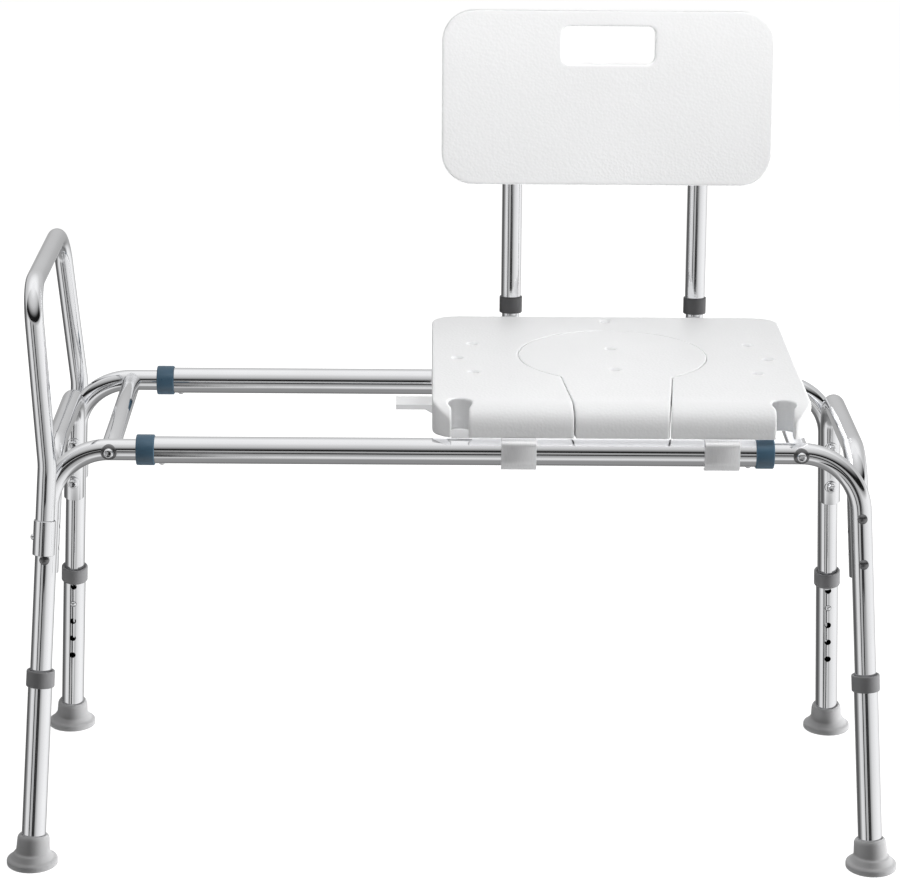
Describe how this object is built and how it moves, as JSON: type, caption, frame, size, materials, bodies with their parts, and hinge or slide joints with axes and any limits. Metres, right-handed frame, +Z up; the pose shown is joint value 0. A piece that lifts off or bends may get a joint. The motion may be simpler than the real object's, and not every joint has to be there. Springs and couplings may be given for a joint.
{
  "type": "bath transfer bench",
  "caption": "Sliding bath transfer bench: moulded seat and backrest on two tubular rails, height-adjustable splayed legs with rubber feet and a side assist handle.",
  "frame": {"origin": "on the floor, below the middle of the whole bench's bounding box, with the seat near its +X end", "axes": "+X along the rails, away from the assist handle; -Y towards the bench's front; +Z up"},
  "size_m": [1.067, 0.5519, 0.9515],
  "materials": {
    "polished_aluminium": "bright polished and anodised tube",
    "satin_aluminium": "satin folded plate",
    "steel": "bright plated steel",
    "white_plastic": "fine pebble texture",
    "blue_plastic": "smooth slate blue",
    "grey_plastic": "smooth mid grey",
    "grey_rubber": "matt mid grey"
  },
  "bodies": {
    "frame": {"assist_handle": "polished_aluminium", "crossbar_bolt_front_left": "steel", "crossbar_bolt_front_right": "steel", "crossbar_bolt_rear_left": "steel", "crossbar_bolt_rear_right": "steel", "crossbar_left": "polished_aluminium", "crossbar_right": "polished_aluminium", "end_bow_left": "polished_aluminium", "end_bow_right": "polished_aluminium", "front_rail": "polished_aluminium", "handle_socket_front": "polished_aluminium", "handle_socket_rear": "polished_aluminium", "leg_frame_front_left": "polished_aluminium", "leg_frame_front_right": "polished_aluminium", "leg_frame_rear_left": "polished_aluminium", "leg_frame_rear_right": "polished_aluminium", "rail_collar_front_left": "blue_plastic", "rail_collar_front_right": "blue_plastic", "rail_collar_rear_left": "blue_plastic", "rail_collar_rear_right": "blue_plastic", "rear_rail": "polished_aluminium"},
    "seat_carriage": {"seat_panel": "white_plastic", "slide_bracket_left": "satin_aluminium", "slide_bracket_right": "satin_aluminium", "back_support_left": "polished_aluminium", "back_support_right": "polished_aluminium", "lock_housing": "white_plastic", "lever_pivot": "steel"},
    "backrest": {"backrest": "white_plastic", "back_tube_left": "polished_aluminium", "back_tube_right": "polished_aluminium", "back_collar_left": "grey_plastic", "back_collar_right": "grey_plastic"},
    "seat_insert": {"seat_insert": "white_plastic"},
    "lock_lever": {"lock_lever": "white_plastic"},
    "lock_plunger": {"lock_plunger": "steel"},
    "lower_leg_front_left": {"lower_leg_front_left": "polished_aluminium", "leg_collar_front_left": "grey_plastic", "foot_front_left": "grey_rubber"},
    "leg_button_front_left": {"leg_button_front_left": "steel"},
    "rail_button_front_left": {"rail_button_front_left": "steel"},
    "lower_leg_front_right": {"lower_leg_front_right": "polished_aluminium", "leg_collar_front_right": "grey_plastic", "foot_front_right": "grey_rubber"},
    "leg_button_front_right": {"leg_button_front_right": "steel"},
    "rail_button_front_right": {"rail_button_front_right": "steel"},
    "lower_leg_rear_left": {"lower_leg_rear_left": "polished_aluminium", "leg_collar_rear_left": "grey_plastic", "foot_rear_left": "grey_rubber"},
    "leg_button_rear_left": {"leg_button_rear_left": "steel"},
    "rail_button_rear_left": {"rail_button_rear_left": "steel"},
    "lower_leg_rear_right": {"lower_leg_rear_right": "polished_aluminium", "leg_collar_rear_right": "grey_plastic", "foot_rear_right": "grey_rubber"},
    "leg_button_rear_right": {"leg_button_rear_right": "steel"},
    "rail_button_rear_right": {"rail_button_rear_right": "steel"},
    "handle_button_front": {"handle_button_front": "steel"},
    "handle_button_rear": {"handle_button_rear": "steel"},
    "back_button_left": {"back_button_left": "steel"},
    "back_button_right": {"back_button_right": "steel"}
  },
  "joints": [
    {"name": "seat_slide", "type": "slide", "parent": "frame", "child": "seat_carriage", "axis": [1, 0, 0], "range_m": [-0.32, 0.018]},
    {"name": "backrest_lift", "type": "slide", "parent": "seat_carriage", "child": "backrest", "axis": [0, 0.0872, 0.9962], "range_m": [0, 0.12]},
    {"name": "seat_insert_lift", "type": "slide", "parent": "seat_carriage", "child": "seat_insert", "axis": [0, 0, 1], "range_m": [0, 0.08]},
    {"name": "lock_lever_press", "type": "hinge", "parent": "seat_carriage", "child": "lock_lever", "pos_m": [0.018, -0.0015, 0.504], "axis": [0, 1, 0], "range_deg": [0, 10], "stiffness_Nm_per_rad": 0.6, "springref_deg": -8.59},
    {"name": "lock_plunger_draw", "type": "slide", "parent": "seat_carriage", "child": "lock_plunger", "axis": [0, 1, 0], "range_m": [0, 0.0042]},
    {"name": "leg_height_front_left", "type": "slide", "parent": "frame", "child": "lower_leg_front_left", "axis": [-0.0556, -0.1409, -0.9885], "range_m": [-0.0762, 0.0254]},
    {"name": "leg_button_press_front_left", "type": "slide", "parent": "lower_leg_front_left", "child": "leg_button_front_left", "axis": [0, -0.99, 0.1411], "range_m": [0, 0.003], "stiffness_N_per_m": 400, "springref_m": -0.001},
    {"name": "rail_button_press_front_left", "type": "slide", "parent": "frame", "child": "rail_button_front_left", "axis": [0, 0, 1], "range_m": [0, 0.003], "stiffness_N_per_m": 400, "springref_m": -0.001},
    {"name": "leg_height_front_right", "type": "slide", "parent": "frame", "child": "lower_leg_front_right", "axis": [0.0556, -0.1409, -0.9885], "range_m": [-0.0762, 0.0254]},
    {"name": "leg_button_press_front_right", "type": "slide", "parent": "lower_leg_front_right", "child": "leg_button_front_right", "axis": [0, -0.99, 0.1411], "range_m": [0, 0.003], "stiffness_N_per_m": 400, "springref_m": -0.001},
    {"name": "rail_button_press_front_right", "type": "slide", "parent": "frame", "child": "rail_button_front_right", "axis": [0, 0, 1], "range_m": [0, 0.003], "stiffness_N_per_m": 400, "springref_m": -0.001},
    {"name": "leg_height_rear_left", "type": "slide", "parent": "frame", "child": "lower_leg_rear_left", "axis": [-0.0556, 0.1409, -0.9885], "range_m": [-0.0762, 0.0254]},
    {"name": "leg_button_press_rear_left", "type": "slide", "parent": "lower_leg_rear_left", "child": "leg_button_rear_left", "axis": [0, 0.99, 0.1411], "range_m": [0, 0.003], "stiffness_N_per_m": 400, "springref_m": -0.001},
    {"name": "rail_button_press_rear_left", "type": "slide", "parent": "frame", "child": "rail_button_rear_left", "axis": [0, 0, 1], "range_m": [0, 0.003], "stiffness_N_per_m": 400, "springref_m": -0.001},
    {"name": "leg_height_rear_right", "type": "slide", "parent": "frame", "child": "lower_leg_rear_right", "axis": [0.0556, 0.1409, -0.9885], "range_m": [-0.0762, 0.0254]},
    {"name": "leg_button_press_rear_right", "type": "slide", "parent": "lower_leg_rear_right", "child": "leg_button_rear_right", "axis": [0, 0.99, 0.1411], "range_m": [0, 0.003], "stiffness_N_per_m": 400, "springref_m": -0.001},
    {"name": "rail_button_press_rear_right", "type": "slide", "parent": "frame", "child": "rail_button_rear_right", "axis": [0, 0, 1], "range_m": [0, 0.003], "stiffness_N_per_m": 400, "springref_m": -0.001},
    {"name": "handle_button_press_front", "type": "slide", "parent": "frame", "child": "handle_button_front", "axis": [0.9985, -0.0078, -0.055], "range_m": [0, 0.003], "stiffness_N_per_m": 400, "springref_m": -0.001},
    {"name": "handle_button_press_rear", "type": "slide", "parent": "frame", "child": "handle_button_rear", "axis": [-0.9985, -0.0078, 0.055], "range_m": [0, 0.003], "stiffness_N_per_m": 400, "springref_m": -0.001},
    {"name": "back_button_press_left", "type": "slide", "parent": "backrest", "child": "back_button_left", "axis": [0, -0.9962, 0.0872], "range_m": [0, 0.003], "stiffness_N_per_m": 400, "springref_m": -0.001},
    {"name": "back_button_press_right", "type": "slide", "parent": "backrest", "child": "back_button_right", "axis": [0, -0.9962, 0.0872], "range_m": [0, 0.003], "stiffness_N_per_m": 400, "springref_m": -0.001}
  ],
  "couplings": [
    {"joint": "lock_plunger_draw", "follows": "lock_lever_press", "m_per_rad": 0.022918}
  ]
}
